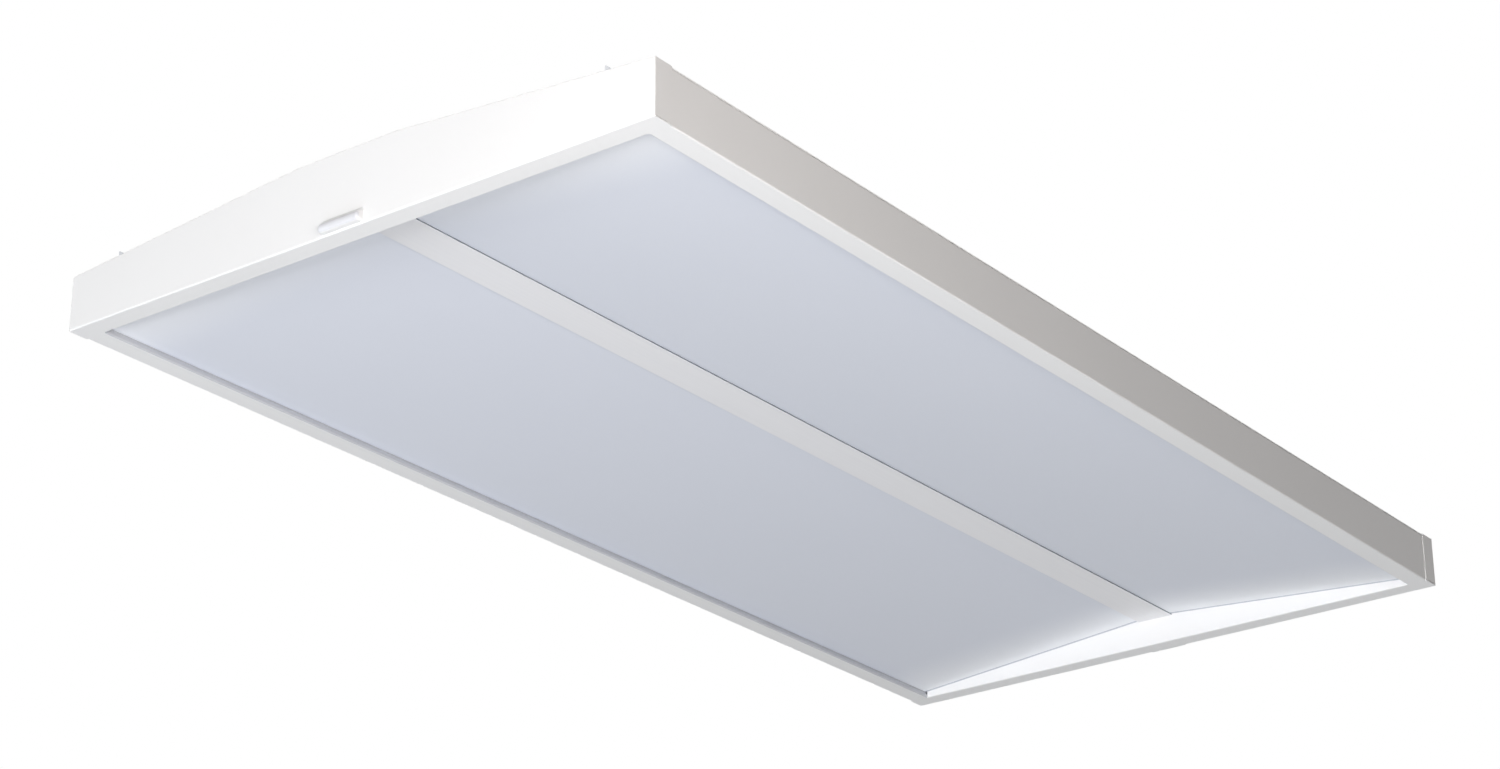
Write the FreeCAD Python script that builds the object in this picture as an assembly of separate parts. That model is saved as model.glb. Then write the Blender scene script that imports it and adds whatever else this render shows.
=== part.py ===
import FreeCAD
import Part

import math
import os

# Recessed troffer light for a lay-in ceiling grid. Millimetres, +Z up.
# X runs along the length (near end -X, far end +X), Y across the width (left +Y, right -Y).
# The origin is the middle of the rim's underside, the face that rests on the ceiling grid.

# Overall sizes.
length = 1213.0
width = 603.0
side_height = 48.4
ridge_height = 69.2
plateau_width = 100.0

# Sheet metal. Cutters reach past what they cut by the overrun.
sheet = 0.8
bend = 0.6
shallow_bend = 10.0
joint_gap = 0.05
fold_gap = 0.1
slit = 0.5
slit_depth = 4.0
overrun = 1.0
same = 0.01

# Rim, the inner walls and the seats that carry the diffusers.
end_rim = 20.0
side_rim = 21.0
return_height = 4.5
gasket_thick = 2.0
gasket_setback = 1.5
gasket_width = 8.5
seat_width = 10.0
ledge_past = 1.0
rail_flange = 14.0
rail_lift = 3.0

# Diffusers.
diffuser_thick = 2.0
diffuser_lap = 11.0
diffuser_end_lap = 8.5
edge_clear = 0.5

# Centre spine, an extrusion that carries the inner edges of the diffusers.
spine_width = 38.4
spine_under = 26.9
spine_base = 1.5
spine_leg = 1.5
spine_leg_out = 14.0
spine_leg_height = 4.6
port_half = 1.65
port_rib = 1.8
spine_edge_round = 0.4
spine_side_gap = 0.2
spine_rest_inset = 2.0
spine_seat_gap = 1.0

# Wireway, the folded channel between the spine and the roof.
wireway_half = 19.0
wireway_wall = 15.0
wireway_top_past = 1.0
wireway_flange = 13.0
wireway_end_gap = 4.0

# Locating lug pressed out of each end plate.
lug_width = 42.0
lug_proud = 7.0
lug_face = 5.4
lug_round = 3.5
lug_side_round = 2.5
lug_inset = 1.1

# Access opening and its hinged cover, on the roof's plateau.
opening_start = -60.0
opening_long = 380.0
opening_right = -31.0
opening_left = 38.0
opening_round = 4.0
opening_flange = 6.0
cover_lap = 6.0
cover_gap = 0.1
bead_margin = 6.0
bead_wide = 8.0
bead_slope = 2.0
bead_rise = 1.2

# Hinge of the cover.
pin_radius = 1.3
running_fit = 0.05
hinge_setback = 5.5
knuckle = 14.0
knuckle_gap = 0.15
knuckle_side_gap = 0.4
hinge_from_end = 60.0
leaf_reach = 12.3

# Knockout for a half-inch conduit connector, shown open.
knockout_radius = 11.1
knockout_offset = 35.0

# Hexagon-head screws. The spine has one near each end.
hole_clear = 0.1
screw_radius = 1.6
screw_head_radius = 3.4
screw_head = 1.8
cover_screw_clear = 0.7
cover_screw_long = 4.0
cover_screw_edge = 5.0
spine_screw_inset = 70.0

# Grid clips, which swing out over the ceiling tees.
clip_long = 46.0
clip_wide = 12.0
clip_thick = 1.0
clip_tab = 5.0
clip_from_edge = 10.0
clip_gap = 0.1
clip_chamfer = 3.5
clip_pivot_radius = 2.0
clip_head_radius = 3.8
clip_head = 1.0

# Hanger brackets for the safety wires.
hanger_from_middle = 480.0
hanger_side = 150.0
hanger_wide = 18.0
hanger_foot = 16.0
hanger_tall = 15.0
hanger_thick = 1.2
hanger_chamfer = 5.0
hanger_hole = 3.5
hanger_hole_height = 8.5

# Lamp boards.
board_wide = 20.0
board_thick = 1.2
board_rows = (100.0, 200.0)
board_end_gap = 28.0
board_middle_gap = 2.0
lamp_long = 3.5
lamp_wide = 2.8
lamp_thick = 0.7
lamp_pitch = 60.0
lamp_first = 38.75
connector_from_middle = 55.0
connector_long = 9.0
connector_wide = 9.0
connector_thick = 4.0
bridge_long = 16.0
bridge_wide = 7.0
bridge_thick = 3.0

# Driver and its wiring.
driver_start = 0.0
driver_long = 240.0
driver_wide = 30.0
driver_tall = 22.0
driver_round = 1.5
driver_foot = 12.0
driver_foot_thick = 1.2
lead_height = 11.0
lead_side = 7.0
lead_thick = 2.6
lead_bend = 8.0
lead_run = 10.0
lead_drop_run = 14.0
cable_thick = 3.2
cable_bend = 12.0
cable_side = 5.0
cable_rise_start = 46.0
cable_straight = 14.0
grommet_height = 7.7
grommet_half = 4.0
grommet_lip = 1.5
grommet_lip_thick = 1.2
plug_from_driver = 36.0
plug_long = 18.0
plug_wide = 24.0
plug_tall = 9.0
plug_tongue = 6.0
plug_wall = 1.6
plug_clear = 0.2
socket_port = 3.6
socket_port_depth = 6.0
plug_port_depth = 6.0
terminal_gap = 2.6
ground_bend = 4.0
terminal_half = 3.4
terminal_thick = 0.8
barrel_wall = 0.45
barrel_long = 5.0

# Worked out from the sizes above.
half_long = length / 2
half_wide = width / 2
half_plateau = plateau_width / 2
roof_fall = (ridge_height - side_height) / (half_wide - half_plateau)
roof_angle = math.degrees(math.atan(roof_fall))
roof_cos = math.cos(math.radians(roof_angle))
recess_half_long = half_long - end_rim
recess_half_wide = half_wide - side_rim
spine_half = spine_width / 2
spine_top = spine_under + spine_base
diffuser_low = return_height + gasket_thick
diffuser_fall = (spine_top - diffuser_low) / (recess_half_wide - spine_half)
diffuser_cos = math.cos(math.atan(diffuser_fall))
wireway_under = spine_top + spine_leg_height
wireway_floor = wireway_under + sheet
plateau_top = ridge_height - sheet
fold_clear = bend + fold_gap
roof_half_long = half_long - sheet - fold_clear
wireway_top_half = half_plateau + wireway_top_past
opening_end = opening_start + opening_long
cover_under = plateau_top + cover_gap
roll_radius = pin_radius + running_fit
hinge_axis_y = opening_right - hinge_setback
hinge_axis_z = cover_under + sheet + roll_radius
hinge_places = (opening_start + hinge_from_end, opening_end - hinge_from_end)
hinge_sides = (-1, 1)
cover_screw_y = opening_left + cover_lap / 2 + sheet
cover_screw_x = (opening_start + opening_end) / 2
lead_z = wireway_floor + lead_height
port_z = wireway_floor + plug_tall / 2
cable_z = wireway_floor + grommet_height
driver_end = driver_start + driver_long
plug_start = driver_end + plug_from_driver
ground_screw_x = driver_end + driver_foot + terminal_gap + terminal_half
barrel_half = lead_thick / 2 + running_fit + barrel_wall
cable_x = driver_start - connector_from_middle
spine_reach = recess_half_long + diffuser_end_lap
board_start = board_middle_gap / 2
board_long = recess_half_long - board_end_gap - board_start
spine_screws_x = (spine_screw_inset - spine_reach, spine_reach - spine_screw_inset)
corners = [("near_left", -1, 1), ("near_right", -1, -1), ("far_left", 1, 1), ("far_right", 1, -1)]


# ---- Shared forms -------------------------------------------------------------------

def across(u, v):
    """A point of a section that lies across the light."""
    return FreeCAD.Vector(0, u, v)


def lengthwise(u, v):
    """A point of a section that lies along the light."""
    return FreeCAD.Vector(u, 0, v)


def level(u, v):
    """A point of a section that lies flat."""
    return FreeCAD.Vector(u, v, 0)


def heading(start, end):
    """Unit direction from one section point to the next."""
    step = math.dist(start, end)
    return ((end[0] - start[0]) / step, (end[1] - start[1]) / step)


def turn(before, after):
    """Signed turn between two headings, in radians, left turns positive."""
    cross = before[0] * after[1] - before[1] * after[0]
    dot = before[0] * after[0] + before[1] * after[1]
    return math.atan2(cross, dot)


def beside(points, distance):
    """The open line that runs this far to the left of another, with mitred corners."""
    ways = [heading(a, b) for a, b in zip(points, points[1:])]
    moved = []
    for index, (u, v) in enumerate(points):
        before = ways[max(index - 1, 0)]
        after = ways[min(index, len(ways) - 1)]
        half = turn(before, after) / 2
        middle = math.atan2(before[1], before[0]) + half + math.pi / 2
        reach = distance / math.cos(half)
        moved.append((u + reach * math.cos(middle), v + reach * math.sin(middle)))
    return moved


def bent_line(points, radii, place):
    """Edges along a line whose inner corners are arcs of the given radii."""
    ways = [heading(a, b) for a, b in zip(points, points[1:])]
    edges = []
    at = points[0]
    for index in range(1, len(points) - 1):
        before, after = ways[index - 1], ways[index]
        half = turn(before, after) / 2
        radius = radii[index - 1]
        cut = radius * math.tan(abs(half))
        u, v = points[index]
        first = (u - before[0] * cut, v - before[1] * cut)
        last = (u + after[0] * cut, v + after[1] * cut)
        toward = math.atan2(before[1], before[0]) + half + math.copysign(math.pi / 2, half)
        sag = radius / math.cos(half) - radius
        middle = (u + sag * math.cos(toward), v + sag * math.sin(toward))
        edges.append(Part.makeLine(place(*at), place(*first)))
        edges.append(Part.Arc(place(*first), place(*middle), place(*last)).toShape())
        at = last
    edges.append(Part.makeLine(place(*at), place(*points[-1])))
    return edges


def fold(points, radii, place, thick=sheet):
    """Section of a folded sheet to the left of a line; radii are those inside the bends."""
    ways = [heading(a, b) for a, b in zip(points, points[1:])]
    left_turns = [turn(a, b) > 0 for a, b in zip(ways, ways[1:])]
    near_radii = [r + thick if left else r for r, left in zip(radii, left_turns)]
    far_radii = [r if left else r + thick for r, left in zip(radii, left_turns)]
    other = beside(points, thick)
    edges = bent_line(points, near_radii, place) + bent_line(other, far_radii, place)
    edges.append(Part.makeLine(place(*points[0]), place(*other[0])))
    edges.append(Part.makeLine(place(*points[-1]), place(*other[-1])))
    return Part.Face(Part.Wire(Part.__sortEdges__(edges)))


def prism(points, place, start, end):
    """Straight-sided bar with this section, from start to end along the third axis."""
    corners_3d = [place(*point) for point in points]
    face = Part.Face(Part.makePolygon(corners_3d + corners_3d[:1]))
    return sweep(face, start, end)


def sweep(face, start, end):
    """Draw a flat section out along the axis that it stands across, from start to end."""
    axis = FreeCAD.Vector(*[abs(round(value)) for value in face.normalAt(0, 0)])
    moved = face.copy()
    moved.translate(axis * start)
    return moved.extrude(axis * (end - start))


def block(x_span, y_span, z_span):
    """Box between three pairs of limits."""
    low = FreeCAD.Vector(x_span[0], y_span[0], z_span[0])
    sizes = [span[1] - span[0] for span in (x_span, y_span, z_span)]
    return Part.makeBox(*sizes, low)


def soft_block(x_span, y_span, z_span, radius, axis):
    """Box whose edges along one axis are rounded."""
    box = block(x_span, y_span, z_span)
    edges = [edge for edge in box.Edges if abs(edge.tangentAt(0).dot(axis)) > 0.99]
    return box.makeFillet(radius, edges)


def post(radius, x, y, low, high):
    """Upright cylinder."""
    return Part.makeCylinder(radius, high - low, FreeCAD.Vector(x, y, low))


def strand(points, radii, place, thick, middle):
    """Square-section wire whose centre line lies in one plane, at this middle across it."""
    half = thick / 2
    section = fold(beside(points, -half), [radius - half for radius in radii], place, thick)
    return sweep(section, middle - half, middle + half)


def mirrored(shape, x=0, y=0):
    """The same form on the other side of the middle."""
    return shape.mirror(FreeCAD.Vector(0, 0, 0), FreeCAD.Vector(x, y, 0))


# ---- Roof geometry ------------------------------------------------------------------

def roof_height(y, depth=0.0):
    """Height of the surface this far inside the outer roof line, over one slope."""
    past = abs(y) - half_plateau
    return ridge_height - past * roof_fall - depth / roof_cos


def roof_line(depth, half):
    """Corners of the surface this far inside the outer roof line, from left to right."""
    ridge_y = half_plateau - depth * (1 / roof_cos - 1) / roof_fall
    edge = roof_height(half, depth)
    top = ridge_height - depth
    return [(half, edge), (ridge_y, top), (-ridge_y, top), (-half, edge)]


def on_roof(shape, x, y, depth):
    """Lay a form made on the XY plane onto the roof surface at this depth."""
    laid = shape.copy()
    if abs(y) <= half_plateau:
        laid.translate(FreeCAD.Vector(x, y, ridge_height - depth))
        return laid
    tilt = -math.copysign(roof_angle, y)
    laid.rotate(FreeCAD.Vector(0, 0, 0), FreeCAD.Vector(1, 0, 0), tilt)
    laid.translate(FreeCAD.Vector(x, y, roof_height(y, depth)))
    return laid


def seat_height(y):
    """Underside of a diffuser at this distance from the middle."""
    return diffuser_low + (recess_half_wide - abs(y)) * diffuser_fall


def roof_holes(radius, places):
    """Drills through the outer sheet at these roof places, square to the roof."""
    drill = post(radius, 0, 0, -2 * sheet, 2 * sheet)
    return [on_roof(drill, x, y, 0) for x, y in places]


def hexagon(radius, low, high):
    """Upright hexagonal bar about the Z axis, its corners this far out."""
    ring = [(radius * math.cos(math.radians(60 * step)), radius * math.sin(math.radians(60 * step)))
            for step in range(6)]
    return prism(ring, level, low, high)


def screw(grip):
    """Hexagon-head screw, its head on the XY plane and its shank below."""
    return hexagon(screw_head_radius, 0, screw_head).fuse(post(screw_radius, 0, 0, -grip, 0))


# ---- Where things sit on the roof ----------------------------------------------------

def clip_places():
    """Pivots of the grid clips."""
    x = half_long - end_rim / 2
    y = half_wide - clip_from_edge
    return [(end * x, side * y) for _, end, side in corners]


def hanger_places():
    """Feet of the hanger brackets."""
    return [(end * hanger_from_middle, side * hanger_side) for _, end, side in corners]


# ---- Housing --------------------------------------------------------------------------

def side_rail():
    """Left rail: seat for the diffuser, inner return, rim, outer wall and roof flange."""
    wall = half_wide - sheet
    ledge_end = recess_half_wide + diffuser_lap + ledge_past
    ledge_z = seat_height(ledge_end) - gasket_thick
    under_roof = 2 * sheet
    line = [
        (ledge_end, ledge_z), (recess_half_wide, return_height), (recess_half_wide, 0), (wall, 0),
        (wall, roof_height(wall, under_roof)),
        (wall - rail_flange, roof_height(wall - rail_flange, under_roof)),
    ]
    section = fold(line, [bend] * 4, across)
    rail = sweep(section, -roof_half_long, roof_half_long)
    rim_end = recess_half_long - joint_gap
    inside = recess_half_wide - overrun
    for side in (-1, 1):
        span = sorted((side * rim_end, side * half_long))
        rail = rail.cut(block(span, (inside, half_wide), (-overrun, rail_lift)))
        ledge_span = (inside, wall - sheet - overrun)
        rail = rail.cut(block(span, ledge_span, (-overrun, return_height + gasket_thick)))
    return rail


def roof_panel():
    """Roof sheet with two slopes, a plateau, the access opening and the supply knockout."""
    half = half_wide - sheet
    line = roof_line(sheet, half)
    section = fold(line, [shallow_bend] * 2, across)
    roof = sweep(section, -roof_half_long, roof_half_long)

    upright = FreeCAD.Vector(0, 0, 1)
    spans = ((opening_start, opening_end), (opening_right, opening_left))
    outer_spans = [(low - sheet, high + sheet) for low, high in spans]
    flange_low = plateau_top - opening_flange
    collar = soft_block(*outer_spans, (flange_low, plateau_top), opening_round + sheet, upright)
    hole_span = (flange_low - overrun, plateau_top + overrun)
    hole = soft_block(*spans, hole_span, opening_round, upright)
    roof = roof.fuse(collar).cut(hole)

    supply_x = opening_end + knockout_offset
    roof = roof.cut(post(knockout_radius, supply_x, 0, plateau_top - 2 * sheet, ridge_height))
    screw_hole = screw_radius + cover_screw_clear
    roof = roof.cut(post(screw_hole, cover_screw_x, cover_screw_y, flange_low, ridge_height))
    return roof.removeSplitter()


def end_form(inset, start, end, radius):
    """Gabled block with its outer edges rounded, for the outside and inside of an end plate."""
    top = roof_line(inset, half_wide - inset)
    outline = top + [(-half_wide + inset, inset), (half_wide - inset, inset)]
    form = prism(outline, across, start, end)
    face = max(form.Faces, key=lambda each: each.CenterOfMass.x)
    return form.makeFillet(radius, face.Edges)


def lug_form(inset, side_round):
    """Rounded wedge of the pressed lug, the inside one smaller by the sheet."""
    low = sheet + bend + inset
    out = half_long + lug_proud - inset
    back = half_long - sheet - inset
    slope_start = sheet + bend + lug_face - inset * (math.sqrt(2) - 1)
    line = [(back, low), (out, low), (out, slope_start), (back, slope_start + out - back)]
    edges = bent_line(line, [lug_round - inset] * 2, lengthwise)
    edges.append(Part.makeLine(lengthwise(*line[-1]), lengthwise(*line[0])))
    face = Part.Face(Part.Wire(Part.__sortEdges__(edges)))
    half = lug_width / 2 - inset
    wedge = sweep(face, -half, half)
    if side_round == 0:
        return wedge
    ends = [each for each in wedge.Faces if abs(abs(each.CenterOfMass.y) - half) < same]
    rims = [edge for each in ends for edge in each.Edges
            if edge.CenterOfMass.x > back + same]
    return wedge.makeFillet(side_round, rims)


def inner_wall():
    """Strip of rim, the inner wall of the recess and the seats on its top edge."""
    strip = half_long - end_rim / 2
    reach = recess_half_wide - 2 * joint_gap
    peak = spine_top + overrun
    line = [(recess_half_long, peak), (recess_half_long, 0), (strip, 0)]
    wall = sweep(fold(line, [bend], lengthwise), -reach, reach)

    edge = spine_half + spine_side_gap
    past = reach + overrun
    above = [
        (past, seat_height(past)), (edge, seat_height(edge)), (edge, spine_under),
        (-edge, spine_under), (-edge, seat_height(edge)), (-past, seat_height(past)),
        (-past, peak + overrun), (past, peak + overrun),
    ]
    wall = wall.cut(prism(above, across, recess_half_long - overrun, strip + overrun))

    seat_span = (recess_half_long + sheet / 2, recess_half_long + seat_width)
    thick = sheet / diffuser_cos
    inner = edge + spine_seat_gap
    for side in (-1, 1):
        seat = [
            (side * reach, seat_height(reach)), (side * inner, seat_height(inner)),
            (side * inner, seat_height(inner) - thick),
            (side * reach, seat_height(reach) - thick),
        ]
        wall = wall.fuse(prism(seat, across, *seat_span))
    middle = (spine_rest_inset - edge, edge - spine_rest_inset)
    return wall.fuse(block(seat_span, middle, (spine_under - sheet, spine_under)))


def corner_slit(y, z, toward):
    """Relief cut between two flanges, set along the middle of their corner."""
    cutter = block((recess_half_long - overrun, half_long - 3 * sheet), (-slit / 2, slit / 2),
                   (-slit_depth, slit_depth))
    cutter.rotate(FreeCAD.Vector(0, 0, 0), FreeCAD.Vector(1, 0, 0), toward)
    cutter.translate(FreeCAD.Vector(0, y, z))
    return cutter


def end_plate():
    """Far end plate, folded from one blank: gable, wrap flanges, rim, inner wall and lug."""
    outside = end_form(0, recess_half_long, half_long, bend + sheet)
    inside = end_form(sheet, recess_half_long - overrun, half_long - sheet, bend)
    plate = outside.cut(inside)

    strip = (recess_half_long - overrun, half_long - end_rim / 2)
    reach = recess_half_wide - 2 * joint_gap
    plate = plate.cut(block(strip, (-reach, reach), (-overrun, sheet + fold_gap)))
    plate = plate.fuse(inner_wall())

    plate = plate.fuse(lug_form(0, lug_side_round)).cut(lug_form(lug_inset, 0))
    for side in (-1, 1):
        side_turn = side * (90 + roof_angle) / 2
        plate = plate.cut(corner_slit(side * half_wide, side_height, -side_turn))
        plate = plate.cut(corner_slit(side * half_plateau, ridge_height, -side * roof_angle / 2))
        wrap = sorted((side * (half_wide - sheet - fold_gap), side * (half_wide + overrun)))
        flange = (recess_half_long - overrun, half_long - 2 * sheet)
        plate = plate.cut(block(flange, wrap, (sheet, sheet + slit)))

    pivots = [place for place in clip_places() if place[0] > 0]
    return plate.cut(roof_holes(clip_pivot_radius, pivots)).removeSplitter()


def wireway():
    """Folded channel under the plateau that holds the driver and the wiring."""
    depth = 2 * sheet
    outer = wireway_top_half + wireway_flange
    lower = sheet / roof_cos
    top = roof_height(wireway_top_half, depth) - lower
    tip = roof_height(outer, depth) - lower
    shoulder = wireway_under + wireway_wall
    line = [
        (-outer, tip), (-wireway_top_half, top), (-wireway_half, shoulder),
        (-wireway_half, wireway_under), (wireway_half, wireway_under), (wireway_half, shoulder),
        (wireway_top_half, top), (outer, tip),
    ]
    reach = roof_half_long - wireway_end_gap
    channel = sweep(fold(line, [bend] * 6, across), -reach, reach)

    floor_span = (wireway_under - overrun, wireway_floor + overrun)
    for x, y in [(x, 0) for x in spine_screws_x] + [(ground_screw_x, lead_side)]:
        channel = channel.cut(post(screw_radius + hole_clear, x, y, *floor_span))
    return channel.cut(grommet_block(grommet_half, (-2 * wireway_half, 2 * wireway_half)))


def centre_spine():
    """Extruded spine: base plate, two legs that bear on the wireway, and a screw port."""
    stub = (-overrun, overrun)
    base = soft_block(stub, (-spine_half, spine_half), (spine_under, spine_top),
                      spine_edge_round, FreeCAD.Vector(1, 0, 0))
    legs_in = spine_leg_out - spine_leg
    ribs = [(-spine_leg_out, -legs_in), (legs_in, spine_leg_out),
            (-port_half - port_rib, -port_half), (port_half, port_half + port_rib)]
    for span in ribs:
        base = base.fuse(block(stub, span, (spine_top - spine_edge_round, wireway_under)))
    section = max(base.removeSplitter().Faces, key=lambda each: each.CenterOfMass.x).copy()
    section.translate(FreeCAD.Vector(-overrun, 0, 0))
    return sweep(section, -spine_reach, spine_reach)


# ---- Optics ---------------------------------------------------------------------------

def diffuser():
    """Left diffuser, a flat sheet that lies on the rail's gasket, the spine and the ends."""
    inner = spine_leg_out + edge_clear
    outer = recess_half_wide + diffuser_lap
    rise = diffuser_thick / diffuser_cos
    section = [
        (inner, seat_height(inner)), (outer, seat_height(outer)),
        (outer, seat_height(outer) + rise), (inner, seat_height(inner) + rise),
    ]
    reach = recess_half_long + diffuser_end_lap
    return prism(section, across, -reach, reach)


def gasket():
    """Left foam strip between the rail's seat and the diffuser."""
    inner = recess_half_wide + gasket_setback
    outer = inner + gasket_width
    section = [
        (inner, seat_height(inner) - gasket_thick), (outer, seat_height(outer) - gasket_thick),
        (outer, seat_height(outer)), (inner, seat_height(inner)),
    ]
    reach = recess_half_long - joint_gap
    return prism(section, across, -reach, reach)


def lamp_board(end, side, row):
    """One lamp board, a plain strip on the roof's underside."""
    half = board_wide / 2
    board = block((0, board_long), (-half, half), (-board_thick, 0))
    if end < 0:
        board = mirrored(board, x=1)
    return on_roof(board, end * board_start, side * row, 2 * sheet)


def lamps():
    """Every lamp, in one row along the middle of each board."""
    lamp = block((-lamp_long / 2, lamp_long / 2), (-lamp_wide / 2, lamp_wide / 2), (-lamp_thick, 0))
    count = int((board_long - 2 * lamp_first) // lamp_pitch) + 1
    first = board_start + lamp_first
    return [on_roof(lamp, end * (first + index * lamp_pitch), side * row, 2 * sheet + board_thick)
            for _, end, side in corners for row in board_rows for index in range(count)]


# ---- Driver and wiring -----------------------------------------------------------------

def led_driver():
    """Driver case with a mounting foot at each end."""
    half = driver_wide / 2
    top = wireway_floor + driver_tall
    case = soft_block((driver_start, driver_end), (-half, half), (wireway_floor, top),
                      driver_round, FreeCAD.Vector(1, 0, 0))
    foot = (wireway_floor, wireway_floor + driver_foot_thick)
    reach = (driver_start - driver_foot, driver_end + driver_foot)
    return case.fuse(block(reach, (driver_round - half, half - driver_round), foot)).removeSplitter()


def board_block(side, row, spans, x):
    """Connector block soldered under a lamp board, spans being its length, width, thickness."""
    half_x, half_y = spans[0] / 2, spans[1] / 2
    body = block((-half_x, half_x), (-half_y, half_y), (-spans[2], 0))
    return on_roof(body, x, side * row, 2 * sheet + board_thick)


def board_connectors():
    """Cable connectors on the near boards, one for each row."""
    spans = (connector_long, connector_wide, connector_thick)
    return [board_block(side, row, spans, cable_x) for side in (-1, 1) for row in board_rows]


def board_bridges():
    """Bridging connectors that carry the supply from the near boards to the far ones."""
    spans = (bridge_long, bridge_wide, bridge_thick)
    return [board_block(side, row, spans, 0) for side in (-1, 1) for row in board_rows]


def connector_port(row, way):
    """Where a cable meets a connector, on its inner (-1) or outer (1) face, as (y, z)."""
    tilt = math.radians(roof_angle)
    along, down = way * connector_wide / 2, connector_thick / 2
    y = row + along * math.cos(tilt) - down * math.sin(tilt)
    z = roof_height(row, 2 * sheet + board_thick)
    return y, z - along * math.sin(tilt) - down * math.cos(tilt)


def output_cable():
    """Left sheathed cable, from the driver through the grommet to the inner row's connector."""
    y, z = connector_port(board_rows[0], -1)
    tilt = math.radians(roof_angle)
    ahead = (y - cable_straight * math.cos(tilt), z + cable_straight * math.sin(tilt))
    flat = [(driver_start, cable_side), (cable_x, cable_side), (cable_x, wireway_half)]
    rising = [(wireway_half, cable_z), (cable_rise_start, cable_z), ahead, (y, z)]
    cable = strand(flat, [cable_bend], level, cable_thick, cable_z)
    return cable.fuse(strand(rising, [cable_bend] * 2, across, cable_thick, cable_x))


def row_jumper():
    """Left jumper cable from the inner row's connector to the outer one's."""
    ends = [connector_port(board_rows[0], 1), connector_port(board_rows[1], -1)]
    return strand(ends, [], across, cable_thick, cable_x)


def grommet_block(half, y_span):
    """Square bar round the cable's line through the wireway's wall."""
    return block((cable_x - half, cable_x + half), y_span, (cable_z - half, cable_z + half))


def grommet():
    """Left rubber grommet round the cable, in the slot of the wireway's wall."""
    low, high = wireway_half - sheet - running_fit, wireway_half + running_fit
    wide = grommet_half + grommet_lip
    ring = grommet_block(grommet_half - running_fit, (low, high))
    ring = ring.fuse([grommet_block(wide, (low - grommet_lip_thick, low)),
                      grommet_block(wide, (high, high + grommet_lip_thick))])
    return ring.cut(grommet_block(cable_thick / 2 + running_fit, (0, 2 * wireway_half)))


def supply_lead(y):
    """One insulated lead from the driver's end face down into the disconnect plug."""
    drop_start = driver_end + lead_run
    points = [
        (driver_end, lead_z), (drop_start, lead_z), (drop_start + lead_drop_run, port_z),
        (plug_start + plug_port_depth, port_z),
    ]
    return strand(points, [lead_bend] * 2, lengthwise, lead_thick, y)


def ground_lead():
    """Ground lead from the plug to the barrel of its terminal."""
    barrel_start = ground_screw_x + terminal_half
    barrel_z = wireway_floor + barrel_half
    points = [
        (plug_start + plug_port_depth, port_z), (plug_start - lead_thick, port_z),
        (barrel_start + barrel_long + lead_thick / 2, barrel_z),
        (barrel_start + barrel_long / 2, barrel_z),
    ]
    return strand(points, [ground_bend] * 2, lengthwise, lead_thick, lead_side)


def ground_terminal():
    """Flat terminal under the ground screw, with a crimp barrel."""
    low, high = wireway_floor, wireway_floor + terminal_thick
    x, y = ground_screw_x, lead_side
    start = x + terminal_half
    sides = (y - barrel_half, y + barrel_half)
    ring = block((x - terminal_half, start), (y - terminal_half, y + terminal_half), (low, high))
    ring = ring.cut(post(screw_radius + hole_clear, x, y, low - overrun, high + overrun))
    ring = ring.fuse(block((start, start + barrel_long), sides, (low, low + 2 * barrel_half)))
    bore = lead_thick / 2 + running_fit
    middle = low + barrel_half
    return ring.cut(block((start + terminal_thick, start + 2 * barrel_long),
                          (y - bore, y + bore), (middle - bore, middle + bore)))


def ground_screw():
    """Ground screw through the terminal into the wireway's floor."""
    return placed_screw(ground_screw_x, lead_side, wireway_floor + terminal_thick)


def placed_screw(x, y, seat):
    """Short screw whose head sits at this height."""
    fixing = screw(seat - wireway_under + 2 * sheet)
    fixing.translate(FreeCAD.Vector(x, y, seat))
    return fixing


def disconnect_ports(x_span, wide):
    """Cutters for three square wire ports over this stretch of the disconnect."""
    half = wide / 2
    return [block(x_span, (y - half, y + half), (port_z - half, port_z + half))
            for y in (-lead_side, 0, lead_side)]


def tongue_block(clearance):
    """Tongue of the disconnect plug, or the pocket for it with a clearance all round."""
    half_y = plug_wide / 2 - plug_wall - plug_clear + clearance
    half_z = plug_tall / 2 - plug_wall - plug_clear + clearance
    end = plug_start + plug_long
    return block((end - overrun, end + plug_tongue + clearance), (-half_y, half_y),
                 (port_z - half_z, port_z + half_z))


def disconnect_plug():
    """Driver's half of the luminaire disconnect."""
    half = plug_wide / 2
    body = block((plug_start, plug_start + plug_long), (-half, half),
                 (wireway_floor, wireway_floor + plug_tall))
    body = body.fuse(tongue_block(0))
    port_span = (plug_start - overrun, plug_start + plug_port_depth)
    ports = disconnect_ports(port_span, lead_thick + 2 * running_fit)
    return body.cut(ports).removeSplitter()


def disconnect_socket():
    """Supply half of the luminaire disconnect, with push-in ports for the building's wires."""
    half = plug_wide / 2
    start = plug_start + plug_long
    end = start + plug_long + plug_clear
    body = block((start, end), (-half, half), (wireway_floor, wireway_floor + plug_tall))
    body = body.cut(tongue_block(plug_clear))
    return body.cut(disconnect_ports((end - socket_port_depth, end + overrun), socket_port))


# ---- Access cover ----------------------------------------------------------------------

def tapered_block(low_z, high_z, low_inset, high_inset):
    """Bar with sloping sides, inset from the access opening's edges at its base and top."""
    wires = []
    for z, inset in ((low_z, low_inset), (high_z, high_inset)):
        low_x, high_x = opening_start + inset, opening_end - inset
        low_y, high_y = opening_right + inset, opening_left - inset
        ring = [(low_x, low_y), (high_x, low_y), (high_x, high_y), (low_x, high_y), (low_x, low_y)]
        wires.append(Part.makePolygon([FreeCAD.Vector(x, y, z) for x, y in ring]))
    return Part.makeLoft(wires, True, True)


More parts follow.
